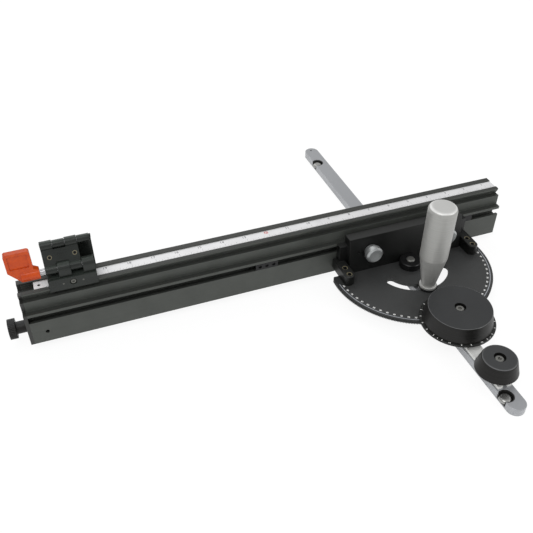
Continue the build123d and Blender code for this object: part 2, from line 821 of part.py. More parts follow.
def jaw_holes(front, depth):
    """Holes for the jaw's screw and dowels, from the front."""
    with BuildSketch(Plane.XZ.offset(-front)) as holes:
        with Locations((jaw_screw_x, jaw_screw_z)):
            Circle(jaw_shank_r)
        with Locations(*[(pin_x, jaw_screw_z) for pin_x in jaw_pin_xs]):
            Circle(jaw_pin_r)
    extrude(holes.sketch, amount=-depth, mode=Mode.SUBTRACT)


with BuildPart() as stop_body:
    with BuildSketch(Plane.YZ.offset(stop_left)):
        with BuildLine():
            Polyline(
                (body_front, stop_floor),
                (body_front, stop_body_top),
                (stop_back - stop_bevel, stop_body_top),
                (stop_back, stop_body_top - stop_bevel),
                (stop_back, hook_low),
                (fence_back - work_groove / 2 + sliding, hook_low),
                (fence_back + sliding, rail_tip_z - back_hook_drop),
                (fence_back + sliding, stop_floor),
                close=True,
            )
        make_face()
    extrude(amount=stop_width)
    for place in (1, 3):
        left = stop_left + place * knuckle_width
        with BuildSketch(Plane.YZ.offset(left)):
            with Locations((low_pin_y, low_pin_z)):
                Circle(low_barrel_r)
            window(low_pin_y - low_barrel_r, low_pin_y + low_barrel_r, jaw_top + seat, low_pin_z)
        extrude(amount=knuckle_width)
    barrel(low_pin_y, low_pin_z, low_pin_r + running, stop_left, stop_width, Mode.SUBTRACT)
    jaw_holes(body_front, 2 * jaw_thick)
finish(stop_body, "stop_body")

# Front jaw that hooks under the rail, with its screw and two dowels
with BuildPart() as stop_jaw:
    with BuildSketch(Plane.YZ.offset(stop_left)):
        with BuildLine():
            Polyline(
                (jaw_front, hook_low + jaw_edge),
                (jaw_front, jaw_top),
                (body_front, jaw_top),
                (body_front, stop_floor),
                (rail_tip - sliding, stop_floor),
                (rail_tip - sliding, rail_tip_z - hook_room),
                (hook_reach, hook_low),
                (jaw_front + jaw_edge, hook_low),
                close=True,
            )
        make_face()
    extrude(amount=stop_width)
    jaw_holes(jaw_front, jaw_thick)
    with BuildSketch(Plane.XZ.offset(-jaw_front)):
        with Locations((jaw_screw_x, jaw_screw_z)):
            Circle(jaw_recess_r)
    extrude(amount=-recess_depth, mode=Mode.SUBTRACT)
finish(stop_jaw, "stop_jaw")

with BuildPart() as jaw_screw:
    with BuildSketch(Plane.XZ.offset(-jaw_front - jaw_screw_sink)):
        with Locations((jaw_screw_x, jaw_screw_z)):
            Circle(jaw_screw_r)
            RegularPolygon(jaw_screw_r / 2, 6, mode=Mode.SUBTRACT)
    extrude(amount=jaw_screw_sink - recess_depth)
    with BuildSketch(Plane.XZ.offset(jaw_socket_floor - jaw_front - recess_depth)):
        with Locations((jaw_screw_x, jaw_screw_z)):
            Circle(jaw_shank_r)
    extrude(amount=-2 * jaw_thick)
finish(jaw_screw, "jaw_screw")

with BuildPart() as jaw_dowels:
    with BuildSketch(Plane.XZ.offset(-jaw_front)):
        with Locations(*[(pin_x, jaw_screw_z) for pin_x in jaw_pin_xs]):
            Circle(jaw_pin_r)
    extrude(amount=-3 * jaw_thick)
finish(jaw_dowels, "jaw_dowels")

# Cam shaft, which is the lower hinge pin, and the red lever on its end
cam_end = stop_left - cam_gap
hub_left = cam_end - cam_hub_length
paddle_right = paddle_left + paddle_width
with BuildPart() as cam_shaft:
    barrel(low_pin_y, low_pin_z, low_pin_r, hub_left, cam_hub_length + cam_gap + stop_width)
finish(cam_shaft, "cam_shaft")

with BuildPart() as cam_lever:
    with BuildSketch(Plane.XZ.offset(-low_pin_y)) as lever_face:
        with BuildLine():
            Polyline(
                (hub_left, low_pin_z - cam_hub_r),
                (paddle_left, paddle_low),
                (paddle_left, paddle_high),
                (paddle_right, paddle_high),
                (paddle_right, paddle_low),
                (cam_end, low_pin_z + cam_hub_r),
                (cam_end, low_pin_z - cam_hub_r),
                close=True,
            )
        make_face()
        fillet(lever_face.vertices().group_by(Axis.Y)[-1], radius=paddle_corner)
    extrude(amount=paddle_thick / 2, both=True)
    with BuildSketch(Plane.XZ.offset(paddle_thick / 2 - low_pin_y)) as panel:
        window(
            paddle_left + paddle_border,
            paddle_right - paddle_border,
            paddle_low + paddle_border,
            paddle_high - paddle_border,
        )
        fillet(panel.vertices(), radius=paddle_corner / 2)
    extrude(amount=-paddle_recess, mode=Mode.SUBTRACT)
    barrel(low_pin_y, low_pin_z, cam_hub_r, hub_left, cam_hub_length)
    barrel(low_pin_y, low_pin_z, low_pin_r, hub_left, cam_hub_length, Mode.SUBTRACT)
finish(cam_lever, "cam_lever")

# Link of the flip stop, between the lower and the upper hinge
link_run = Vector(high_pin_y - low_pin_y, high_pin_z - low_pin_z)
link_side = Vector(-link_run.Y, link_run.X).normalized() * (link_thick / 2)
link_mid = Vector(low_pin_y, low_pin_z) + link_run / 2
link_face = Plane(
    origin=(stop_left, link_mid.X + link_side.X, link_mid.Y + link_side.Y),
    x_dir=(1, 0, 0),
    z_dir=(0, link_side.X, link_side.Y),
)
link_screw_xs = (link_screw_left, link_screw_right)
with BuildPart() as stop_link:
    with BuildSketch(Plane.YZ.offset(stop_left)):
        with BuildLine():
            Polyline(
                (low_pin_y + link_side.X, low_pin_z + link_side.Y),
                (high_pin_y + link_side.X, high_pin_z + link_side.Y),
                (high_pin_y - link_side.X, high_pin_z - link_side.Y),
                (low_pin_y - link_side.X, low_pin_z - link_side.Y),
                close=True,
            )
        make_face()
    extrude(amount=link_width)
    for place in (0, 2):
        left = stop_left + place * knuckle_width
        barrel(low_pin_y, low_pin_z, link_barrel_r, left, knuckle_width - knuckle_gap)
        barrel(high_pin_y, high_pin_z, high_barrel_r, left, knuckle_width - knuckle_gap)
    left = stop_left + knuckle_width - knuckle_gap
    window_width = knuckle_width + knuckle_gap
    barrel(low_pin_y, low_pin_z, low_barrel_r + sliding, left, window_width, Mode.SUBTRACT)
    barrel(high_pin_y, high_pin_z, high_barrel_r + sliding, left, window_width, Mode.SUBTRACT)
    barrel(low_pin_y, low_pin_z, low_pin_r + running, stop_left, stop_width, Mode.SUBTRACT)
    barrel(high_pin_y, high_pin_z, high_pin_r, stop_left, stop_width, Mode.SUBTRACT)
    with BuildSketch(link_face):
        with Locations(*[(screw_x, 0) for screw_x in link_screw_xs]):
            Circle(link_screw_r)
    extrude(amount=-link_thick, mode=Mode.SUBTRACT)
finish(stop_link, "stop_link")

# Two set screws in the link
with BuildPart() as link_screws:
    with BuildSketch(link_face.offset(-link_screw_sink)):
        with Locations(*[(screw_x, 0) for screw_x in link_screw_xs]):
            Circle(link_screw_r)
            RegularPolygon(link_screw_r / 2, 6, mode=Mode.SUBTRACT)
    extrude(amount=link_screw_sink - link_thick / 2)
    with BuildSketch(link_face.offset(-link_thick / 2)):
        with Locations(*[(screw_x, 0) for screw_x in link_screw_xs]):
            Circle(link_screw_r)
    extrude(amount=-link_thick / 2)
finish(link_screws, "link_screws")

with BuildPart() as high_hinge_pin:
    barrel(high_pin_y, high_pin_z, high_pin_r, stop_left, stop_width)
finish(high_hinge_pin, "high_hinge_pin")

# Arm of the flip stop: hangs from the upper hinge behind the fence
arm_back = arm_front + arm_thick
link_sweep_r = high_barrel_r + sliding
with BuildPart() as stop_arm:
    with BuildSketch(Plane.YZ.offset(arm_left)):
        with BuildLine():
            Polyline(
                (high_pin_y, high_pin_z + arm_barrel_r),
                (arm_back, arm_shoulder),
                (arm_back, arm_low),
                (arm_front, arm_low),
                (arm_front, arm_shoulder - arm_thick / 2),
                (high_pin_y, high_pin_z),
                close=True,
            )
        make_face()
    extrude(amount=arm_width)
    for place in (1, 3):
        left = stop_left + place * knuckle_width
        barrel(high_pin_y, high_pin_z, arm_barrel_r, left, knuckle_width)
    for place, extra in ((0, stop_left - arm_left), (2, knuckle_gap)):
        left = stop_left + place * knuckle_width - extra
        barrel(high_pin_y, high_pin_z, link_sweep_r, left, knuckle_width + extra, Mode.SUBTRACT)
    barrel(high_pin_y, high_pin_z, high_pin_r + running, arm_left, arm_width, Mode.SUBTRACT)
finish(stop_arm, "stop_arm")
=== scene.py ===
"""Miter gauge for a saw table: finishes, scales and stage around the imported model."""

import bpy
import numpy as np
from bpy.props import FloatProperty, FloatVectorProperty, IntProperty, PointerProperty
from mathutils import Matrix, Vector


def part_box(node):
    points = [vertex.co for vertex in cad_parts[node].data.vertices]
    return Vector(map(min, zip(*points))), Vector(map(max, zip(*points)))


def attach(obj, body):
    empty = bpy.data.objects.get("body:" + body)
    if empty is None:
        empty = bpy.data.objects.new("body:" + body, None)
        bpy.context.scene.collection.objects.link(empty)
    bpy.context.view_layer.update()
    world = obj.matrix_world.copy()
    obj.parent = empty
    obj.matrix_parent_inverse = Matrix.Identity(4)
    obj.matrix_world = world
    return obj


bl_info = {
    "name": "Miter Gauge",
    "version": (1, 0, 0),
    "blender": (4, 5, 0),
    "location": "View3D > Sidebar > Miter Gauge",
    "description": "Dresses a miter gauge with its finishes, scales and stage",
    "category": "Object",
}

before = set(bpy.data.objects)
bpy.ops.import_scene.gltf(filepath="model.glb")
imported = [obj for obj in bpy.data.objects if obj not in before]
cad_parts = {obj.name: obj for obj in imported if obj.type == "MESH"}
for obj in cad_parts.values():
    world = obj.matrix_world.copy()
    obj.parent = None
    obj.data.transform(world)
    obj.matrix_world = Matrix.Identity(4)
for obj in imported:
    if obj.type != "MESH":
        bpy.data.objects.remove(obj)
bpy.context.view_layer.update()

MM = 0.001
INCH = 0.0254

# Places of the main forms, in metres, read from the frame
PLATE_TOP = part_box("protractor_plate")[1][2]
DIAL_LOW, DIAL_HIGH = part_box("knob_dial")
RULER_LOW, RULER_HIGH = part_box("ruler")

# Print: how far it reaches into its piece, and how far it stands over it
INK_SINK = 0.02 * MM
INK_RISE = 0.04 * MM
RULER_INK_RISE = 0.03 * MM
FIGURE_BOLD = 0.05          # widening of a stroke, as a share of the figure's height
FOOT_BOLD = 0.06            # the same on the ruler's red figure
FIGURE_SHARE = 0.7          # part of a font's size that its figures take up

# Degree scale of the plate, about the pivot
PLATE_LINE_INNER = 90.55 * MM
PLATE_LINE_OUTER = 91.45 * MM
PLATE_LINE_GAP = 2          # degrees left free at each end of the half circle
PLATE_FIGURE_R = 88.1 * MM
PLATE_FIGURE_LAST = 85      # degrees

# Divisions of the dial, in degrees from its index and in radii about its axis
DIAL_INDEX = -108.75
DIAL_STEP = 15.0
DIAL_FIGURE_TURN = 25.7
DIAL_HALF_TURN = 44.7
DIAL_TICK_INNER = 37.4 * MM
DIAL_HALF_INNER = 38.2 * MM
DIAL_TICK_OUTER = 39.25 * MM
DIAL_TICK_WIDTH = 0.75 * MM
DIAL_FIGURE_R = 38.35 * MM
DIAL_FIGURE_HEIGHT = 1.5 * MM

# Pale rims of the socket screws: the inner radius is a share of the screw's
BRACKET_SCREW_R = 3.3 * MM
BRACKET_RIM_SHARE = 0.74
BRACKET_RIM_THICK = 0.16 * MM
LINK_SCREW_R = 2.3 * MM
LINK_SCREW_LENGTH = 4.3 * MM
LINK_RIM_SHARE = 0.72
LINK_RIM_THICK = 0.12 * MM

# Inch scale of the ruler
TICK_LENGTHS = (6.0, 4.6, 3.6, 2.6)     # mm, of inches, halves, quarters and eighths
TICK_SHORT = 1.8                        # mm, of sixteenths
TICK_WIDTH = 0.18 * MM
TICK_EDGE = 1.4 * MM                    # from the ruler's front edge
TICK_END_RIGHT = 2 * MM                 # bare ends of the ruler
TICK_END_LEFT = 10 * MM
INCH_FIGURE_HEIGHT = 3.4 * MM
INCH_FIGURE_BESIDE = 2.2 * MM           # left of its mark
INCH_FIGURE_BACK = 4.4 * MM             # in from the ruler's back edge
INCH_FIGURE_END_LEFT = 12 * MM
INCH_FIGURE_END_RIGHT = 3 * MM
INCH_FIGURE_COUNT = 22

# Stage, in metres and degrees
FLOOR_REACH = 6.0
FLOOR_DROP = 0.05 * MM
CAMERA_SPOT = (-0.3685, -0.5144, 0.526)
CAMERA_AZIMUTH = 20.505
CAMERA_ELEVATION = 39.946
CAMERA_ROLL = 0.23


def linear(hex_colour):
    """An sRGB hex colour such as #c8c8c8 as linear red, green, blue and alpha."""
    parts = np.array([int(hex_colour[i:i + 2], 16) for i in (1, 3, 5)]) / 255.0
    low = parts / 12.92
    high = ((parts + 0.055) / 1.055) ** 2.4
    return (*np.where(parts <= 0.04045, low, high).tolist(), 1.0)


def add(tree, kind, inputs=None, **settings):
    """Add a node with its settings; an input is a value, or a socket to link from."""
    made = tree.nodes.new("ShaderNode" + kind)
    for key, value in settings.items():
        setattr(made, key, value)
    for key, value in (inputs or {}).items():
        if isinstance(value, bpy.types.NodeSocket):
            tree.links.new(value, made.inputs[key])
        else:
            made.inputs[key].default_value = value
    return made


def mixed(tree, factor, first, second):
    """The socket of a colour between two others; each is a colour or a socket."""
    blend = add(tree, "Mix", {"Factor": factor}, data_type="RGBA")
    for slot, value in zip([s for s in blend.inputs if s.type == "RGBA"], (first, second)):
        if isinstance(value, bpy.types.NodeSocket):
            tree.links.new(value, slot)
        else:
            slot.default_value = value
    return [s for s in blend.outputs if s.type == "RGBA"][0]


def crowned(tree, place, tint, painted_top_light, edge=None):
    """The socket of a colour that takes a painted top light where the surface looks up.

    Where there is an edge colour, a painted highlight takes the round between the side and the top.
    """
    facing = add(tree, "SeparateXYZ", {"Vector": place.outputs["Normal"]})
    # Painted top light: the colour turns to the top colour as the face turns up
    upward = add(tree, "MapRange", {"Value": facing.outputs["Z"], "From Min": 0.75, "From Max": 0.97})
    tint = mixed(tree, upward.outputs[0], tint, linear(painted_top_light))
    # Painted highlight: the round between side and top takes the edge colour
    if edge:
        off = add(tree, "Math", {0: facing.outputs["Z"], 1: 0.8}, operation="SUBTRACT")
        off = add(tree, "Math", {0: off.outputs[0]}, operation="ABSOLUTE")
        near = add(tree, "MapRange", {"Value": off.outputs[0], "From Min": 0.2, "From Max": 0.06})
        tint = mixed(tree, near.outputs[0], tint, linear(edge))
    return tint


def blank(name):
    """An empty node material with its tree."""
    material = bpy.data.materials.new(name)
    material.use_nodes = True
    material.node_tree.nodes.clear()
    return material, material.node_tree


def grained(
    name, dark, light, metallic, roughness, grain, depth, spread, edge, painted_top_light=None, coat=0.0, shine=0.5
):
    """A finish with a directional grain: noise stretched to grain millimetres on each axis.

    The noise mixes the two colours, moves the roughness by spread and lifts the surface by depth
    millimetres. Edges are rounded in the shading by edge millimetres. Faces that look up take a
    painted top light, a colour lighter or darker than the rest, where one is given. shine is the
    specular level.
    """
    material, tree = blank(name)
    place = add(tree, "TexCoord")
    scale = [1 / (size * MM) for size in grain]
    scaled = add(tree, "Mapping", {"Vector": place.outputs["Object"], "Scale": scale})
    fine = {"Vector": scaled.outputs[0], "Scale": 1.0, "Detail": 3.0, "Roughness": 0.6}
    noise = add(tree, "TexNoise", fine)
    cloudy = {"Vector": place.outputs["Object"], "Scale": 1 / (22 * MM), "Detail": 2.0}
    broad = add(tree, "TexNoise", cloudy)
    blend = add(tree, "Math", {0: noise.outputs["Fac"], 1: broad.outputs["Fac"]}, operation="ADD")
    usual = {"Value": blend.outputs[0], "From Min": 0.7, "From Max": 1.3}
    span = add(tree, "MapRange", usual)
    tint = mixed(tree, span.outputs[0], linear(dark), linear(light))
    # Painted light: faces that look up take a painted top colour
    if painted_top_light:
        tint = crowned(tree, place, tint, painted_top_light)
    reach = {"To Min": roughness - spread, "To Max": roughness + spread}
    rough = add(tree, "MapRange", {**usual, **reach})
    soft = add(tree, "Bevel", {"Radius": edge * MM}, samples=4)
    bump = add(
        tree,
        "Bump",
        {"Strength": 0.6, "Distance": depth * MM, "Height": noise.outputs["Fac"], "Normal": soft.outputs[0]},
    )
    shader = add(
        tree,
        "BsdfPrincipled",
        {
            "Base Color": tint,
            "Metallic": metallic,
            "Roughness": rough.outputs[0],
            "Normal": bump.outputs[0],
            "Specular IOR Level": shine,
            "Coat Weight": coat,
            "Coat Roughness": 0.15,
        },
    )
    add(tree, "OutputMaterial", {"Surface": shader.outputs[0]})
    return material


def turned(name, dark, light, metallic, roughness, node, axis, pitch, depth, painted_top_light, edge, shine, spin):
    """A turned finish: uneven rings about an axis through the node's centre.

    The rings lie about pitch millimetres apart. They are noise along one number, the distance along
    the axis plus the distance from it, so that sides and faces both show the tool's path. They mix
    the two colours and lift the surface by depth millimetres. The top and its round take painted
    light: a painted top colour and a painted highlight on the round. shine is the specular level,
    and spin stretches highlights across the rings.
    """
    material, tree = blank(name)
    low, high = np.array(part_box(node))
    place = add(tree, "TexCoord")
    centre = ((low + high) / 2).tolist()
    moved = add(tree, "Mapping", {"Vector": place.outputs["Object"], "Location": [-c for c in centre]})
    part = add(tree, "SeparateXYZ", {"Vector": moved.outputs[0]})
    across = [part.outputs[i] for i in range(3) if i != axis]
    flat = add(tree, "CombineXYZ", {0: across[0], 1: across[1]})
    away = add(tree, "VectorMath", {0: flat.outputs[0]}, operation="LENGTH")
    path = add(tree, "Math", {0: part.outputs[axis], 1: away.outputs["Value"]}, operation="ADD")
    turns = add(tree, "Math", {0: path.outputs[0], 1: pitch * MM}, operation="DIVIDE")
    tool_path = {"W": turns.outputs[0], "Scale": 1.0, "Detail": 2.0}
    rings = add(tree, "TexNoise", tool_path, noise_dimensions="1D")
    span = add(tree, "MapRange", {"Value": rings.outputs["Fac"], "From Min": 0.3, "From Max": 0.7})
    tint = mixed(tree, span.outputs[0], linear(dark), linear(light))
    # Painted light: a painted top colour, with a painted highlight on its round
    if painted_top_light:
        tint = crowned(tree, place, tint, painted_top_light, edge)
    line = [float(i == axis) for i in range(3)]
    around = add(tree, "VectorMath", {0: moved.outputs[0], 1: line}, operation="CROSS_PRODUCT")
    tangent = add(
        tree,
        "VectorTransform",
        {0: around.outputs[0]},
        convert_from="OBJECT",
        convert_to="WORLD",
    )
    reach = {"To Min": roughness - 0.04, "To Max": roughness + 0.05}
    rough = add(tree, "MapRange", {"Value": span.outputs[0], **reach})
    soft = add(tree, "Bevel", {"Radius": 0.5 * MM}, samples=4)
    bump = add(
        tree,
        "Bump",
        {"Strength": 0.5, "Distance": depth * MM, "Height": rings.outputs["Fac"], "Normal": soft.outputs[0]},
    )
    shader = add(
        tree,
        "BsdfPrincipled",
        {
            "Base Color": tint,
            "Metallic": metallic,
            "Roughness": rough.outputs[0],
            "Normal": bump.outputs[0],
            "Tangent": tangent.outputs[0],
            "Anisotropic": spin,
            "Specular IOR Level": shine,
        },
    )
    add(tree, "OutputMaterial", {"Surface": shader.outputs[0]})
    return material


def paint(name, colour):
    """Screen printed ink: flat colour with a slight unevenness of gloss."""
    material, tree = blank(name)
    place = add(tree, "TexCoord")
    noise = add(tree, "TexNoise", {"Vector": place.outputs["Object"], "Scale": 1 / (0.8 * MM)})
    rough = add(tree, "MapRange", {"Value": noise.outputs["Fac"], "To Min": 0.45, "To Max": 0.65})
    shader = add(tree, "BsdfPrincipled", {"Base Color": linear(colour), "Roughness": rough.outputs[0]})
    add(tree, "OutputMaterial", {"Surface": shader.outputs[0]})
    return material


# CAD nodes that share a finish
FINISHES = {
    "ground_steel": ["miter_bar"],
    "milled_steel": ["index_slide"],
    "bright_steel": ["handle_stud"],
    "dark_chrome": ["disc_screws"],
    "socket_steel": ["knob_bolt", "index_screw", "pivot_bolt"],
    "pin_steel": ["knob_pinion", "cam_shaft", "high_hinge_pin"],
    "dull_steel": ["jaw_dowels", "jaw_screw"],
    "near_black_discs": ["expansion_discs"],
    "black_oxide_steel": [
        "pivot_collar", "handle_washer", "slot_block", "slot_nut_bar", "block_screws", "cap_screws",
        "bracket_screws", "link_screws",
    ],
    "powder_coated_iron": ["protractor_plate"],
    "black_anodised_aluminium": ["fence_bracket", "knob_dial"],
    "satin_black_anodised_aluminium": ["stop_body", "stop_jaw", "stop_link", "stop_arm"],
    "charcoal_anodised_aluminium": ["fence_extrusion", "extension_bar", "extension_plug"],
    "ruler_aluminium": ["ruler"],
    "turned_handle": ["lock_handle"],
    "turned_clamp_left": ["clamp_knob_left"],
    "turned_clamp_right": ["clamp_knob_right"],
    "turned_black_nylon": ["micro_knob"],
    "turned_grey_nylon": ["index_knob"],
    "moulded_black_nylon": ["lock_screw"],
    "moulded_charcoal_abs": ["extension_cap"],
    "red_polycarbonate": ["cam_lever"],
}


def make_finishes():
    """Make each finish once, by name."""
    # The last column of each row is painted light: the colour of faces that look up, or None
    for name, dark, light, metallic, roughness, grain, depth, spread, edge, painted_top_light in (
        # Surface ground on its long faces: streaks along the bar, 0.3 mm wide; tops take painted shade, an
        # even darker grey
        ("ground_steel", "#a0a2a5", "#b8babd", 0.3, 0.36, (0.3, 40, 0.3), 0.01, 0.07, 0.7, "#a2a4a7"),
        # Milled strip, brighter than the bar
        ("milled_steel", "#f0f0ed", "#f8f8f5", 0.1, 0.40, (0.4, 25, 0.4), 0.008, 0.06, 0.4, None),
        ("bright_steel", "#b4b3ae", "#d2d1cc", 1.0, 0.22, (0.4, 25, 0.4), 0.004, 0.05, 0.25, None),
        # Chrome plated domes: a grey mirror
        ("dark_chrome", "#a2a2a0", "#b0b0ae", 0.85, 0.26, (2, 2, 2), 0.003, 0.03, 0.3, None),
        # Zinc plated socket heads, greyer
        ("socket_steel", "#767673", "#8d8d89", 0.7, 0.36, (0.8, 0.8, 0.8), 0.01, 0.05, 0.3, None),
        ("pin_steel", "#a9a9ac", "#c9c9cb", 0.9, 0.27, (3, 0.3, 0.3), 0.005, 0.05, 0.15, None),
        ("dull_steel", "#5c5c57", "#6d6d68", 0.4, 0.45, (0.5, 0.5, 0.5), 0.005, 0.05, 0.15, None),
        # Moulded discs: waxy and near black, as dark as the pockets they sit in
        ("near_black_discs", "#1d1d1c", "#2b2b2a", 0.0, 0.38, (2, 2, 2), 0.01, 0.05, 0.2, None),
        # Blacked steel: oily dark sheen
        ("black_oxide_steel", "#141415", "#222223", 0.5, 0.36, (0.8, 0.8, 0.8), 0.01, 0.06, 0.25, None),
        # Powder coat: even fine orange peel, 0.5 mm grain
        ("powder_coated_iron", "#2e2f2f", "#383939", 0.0, 0.48, (0.5, 0.5, 0.5), 0.03, 0.06, 0.5, None),
        # Anodised after milling: fine streaks along the piece, the face deep black, with a painted lighter
        # top
        (
            "black_anodised_aluminium", "#0e0f0e", "#171817", 0.2, 0.40,
            (12, 0.4, 0.4), 0.008, 0.06, 0.7, "#222322",
        ),
        # The same, oilier, on the hinged pieces, with a painted highlight where faces look up
        (
            "satin_black_anodised_aluminium", "#1f2220", "#2a2e2b", 0.4, 0.30,
            (12, 0.4, 0.4), 0.01, 0.05, 0.6, "#3b413d",
        ),
        # Extruded and anodised: long die lines, 0.5 mm wide; faces that look up take painted shade, a darker
        # grey
        (
            "charcoal_anodised_aluminium", "#3e413d", "#4a4d49", 0.15, 0.50,
            (90, 0.5, 0.5), 0.012, 0.05, 0.7, "#323431",
        ),
        # Brushed along its length
        ("ruler_aluminium", "#dadadb", "#e9e9ea", 0.2, 0.40, (20, 0.25, 0.25), 0.004, 0.05, 0.1, None),
        # Moulded with a spark eroded texture
        ("moulded_charcoal_abs", "#252624", "#2e2f2d", 0.0, 0.40, (0.6, 0.6, 0.6), 0.01, 0.04, 0.5, None),
    ):
        grained(name, dark, light, metallic, roughness, grain, depth, spread, edge, painted_top_light)
    # Glass filled nylon: fine matte grain, with a painted lighter top where faces look up
    grained(
        "moulded_black_nylon", "#181716", "#201f1e", 0.0, 0.46,
        (0.45, 0.45, 0.45), 0.02, 0.06, 0.8, "#3b3c3d", shine=0.28,
    )
    # Orange red plastic: saturated, with a soft gloss
    grained(
        "red_polycarbonate", "#b43b06", "#cb4e0d", 0.0, 0.32,
        (4, 4, 4), 0.01, 0.05, 0.6, coat=0.15, shine=0.25,
    )
    # The two colours after depth are painted light: a painted top colour and a painted highlight on its
    # round, or None
    for name, dark, light, metallic, roughness, node, axis, pitch, depth, painted_top_light, edge, shine, spin in (
        # Nylon faced on a lathe: rings about 1 mm apart, with a painted lighter top and a painted highlight
        # on its round
        (
            "turned_black_nylon", "#141413", "#1d1c1b", 0.0, 0.34,
            "micro_knob", 2, 1.0, 0.03, "#343536", "#6c6d6e", 0.28, 0.8,
        ),
        (
            "turned_grey_nylon", "#171615", "#201f1e", 0.0, 0.36,
            "index_knob", 2, 1.0, 0.03, "#3c3d3e", "#5e5f60", 0.22, 0.6,
        ),
        # Turned, blasted and clear anodised: satin, with a painted lighter top and a painted highlight on
        # its round
        (
            "turned_handle", "#a3a3a0", "#acaca9", 0.4, 0.44,
            "lock_handle", 2, 1.4, 0.01, "#c9c9c7", "#e4e4e2", 0.5, 0.3,
        ),
        # Turned and plated: rings 0.6 mm apart
        (
            "turned_clamp_left", "#a2a5a5", "#bbbebe", 0.8, 0.36,
            "clamp_knob_left", 1, 0.6, 0.008, None, None, 0.5, 0.4,
        ),
        (
            "turned_clamp_right", "#a2a5a5", "#bbbebe", 0.8, 0.36,
            "clamp_knob_right", 1, 0.6, 0.008, None, None, 0.5, 0.4,
        ),
    ):
        turned(name, dark, light, metallic, roughness, node, axis, pitch, depth, painted_top_light, edge, shine, spin)
    paint("white_ink", "#f2f2f0")
    paint("pale_line", "#9fa2a7")
    paint("grey_ink", "#55565a")
    paint("red_ink", "#c81e14")
    paint("brass_ring", "#7c745c")


def put(name, verts, faces, material, body, slot):
    """A mesh object at the origin from vertices and faces, riding on a body."""
    mesh = bpy.data.meshes.new(name)
    rows = faces if isinstance(faces, list) else faces.tolist()
    mesh.from_pydata(np.asarray(verts).tolist(), [], rows)
    mesh.update()
    mesh.materials.append(bpy.data.materials[material])
    piece = bpy.data.objects.new(name, mesh)
    bpy.context.scene.collection.objects.link(piece)
    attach(piece, body)
    return piece


def slabs(corners, low, high):
    """Closed thin blocks: each row of corners is a flat outline, given a floor and a roof.

    corners has the shape (count, 4, 2) and runs anticlockwise seen from above.
    """
    count = len(corners)
    base = np.concatenate([corners, np.full((count, 4, 1), low)], axis=2)
    roof = np.concatenate([corners, np.full((count, 4, 1), high)], axis=2)
    verts = np.concatenate([base, roof], axis=1).reshape(-1, 3)
    block = np.array(
        [[3, 2, 1, 0], [4, 5, 6, 7], [0, 1, 5, 4], [1, 2, 6, 5], [2, 3, 7, 6], [3, 0, 4, 7]]
    )
    faces = (block[None] + 8 * np.arange(count)[:, None, None]).reshape(-1, 4)
    return verts, faces


def spokes(angles, inner, outer, width, centre=(0.0, 0.0)):
    """Outlines of radial bars: each runs from inner to outer radius at its angle, width across."""
    radial = np.stack([np.cos(angles), np.sin(angles)], axis=1)
    across = np.stack([-radial[:, 1], radial[:, 0]], axis=1) * width / 2
    inner = np.broadcast_to(np.asarray(inner, float), angles.shape)[:, None] * radial
    outer = np.broadcast_to(np.asarray(outer, float), angles.shape)[:, None] * radial
    rows = np.stack([inner - across, outer - across, outer + across, inner + across], axis=1)
    return rows + np.asarray(centre)


def figures(words, height, spots, turns, low, high, bold=0.0):
    """Figures as thin solids: each word is drawn, turned by its angle and moved to its spot.

    bold is how far each stroke is widened, as a share of the height.
    """
    verts, faces, count = [], [], 0
    for word, spot, turn in zip(words, spots, turns):
        curve = bpy.data.curves.new("figure", "FONT")
        curve.body = word
        curve.size = height / FIGURE_SHARE
        curve.offset = bold * height
        curve.align_x = "CENTER"
        curve.align_y = "CENTER"
        curve.resolution_u = 2
        curve.extrude = (high - low) / 2
        holder = bpy.data.objects.new("figure", curve)
        bpy.context.scene.collection.objects.link(holder)
        settled = holder.evaluated_get(bpy.context.evaluated_depsgraph_get())
        mesh = bpy.data.meshes.new_from_object(settled)
        local = np.zeros(len(mesh.vertices) * 3)
        mesh.vertices.foreach_get("co", local)
        local = local.reshape(-1, 3)
        cos, sin = np.cos(turn), np.sin(turn)
        flat = local[:, :2] @ np.array([[cos, sin], [-sin, cos]]) + np.asarray(spot)
        verts.append(np.column_stack([flat, local[:, 2] + (low + high) / 2]))
        faces += [[v + count for v in face.vertices] for face in mesh.polygons]
        count += len(local)
        bpy.data.objects.remove(holder)
        bpy.data.curves.remove(curve)
        bpy.data.meshes.remove(mesh)
    return np.concatenate(verts), faces


def ring(inner, outer, start, end, low, high, steps, centre=(0.0, 0.0)):
    """A flat band as a closed solid: the angle runs from start to end, the section is a rectangle."""
    angle = np.linspace(start, end, steps)[:, None]
    radius = np.array([inner, outer, outer, inner])[None]
    height = np.broadcast_to(np.array([low, low, high, high])[None], (steps, 4))
    across = centre[0] + radius * np.cos(angle)
    along = centre[1] + radius * np.sin(angle)
    grid = np.stack([across, along, height], axis=2)
    row = np.arange(steps - 1)[:, None] * 4
    side = np.arange(4)[None]
    turn = (side + 1) % 4
    quad = np.stack([row + side, row + turn, row + 4 + turn, row + 4 + side], axis=2)
    faces = quad.reshape(-1, 4)[:, ::-1]
    last = (steps - 1) * 4
    faces = np.concatenate([faces, [[0, 1, 2, 3]], [[last + 3, last + 2, last + 1, last]]])
    return grid.reshape(-1, 3), faces


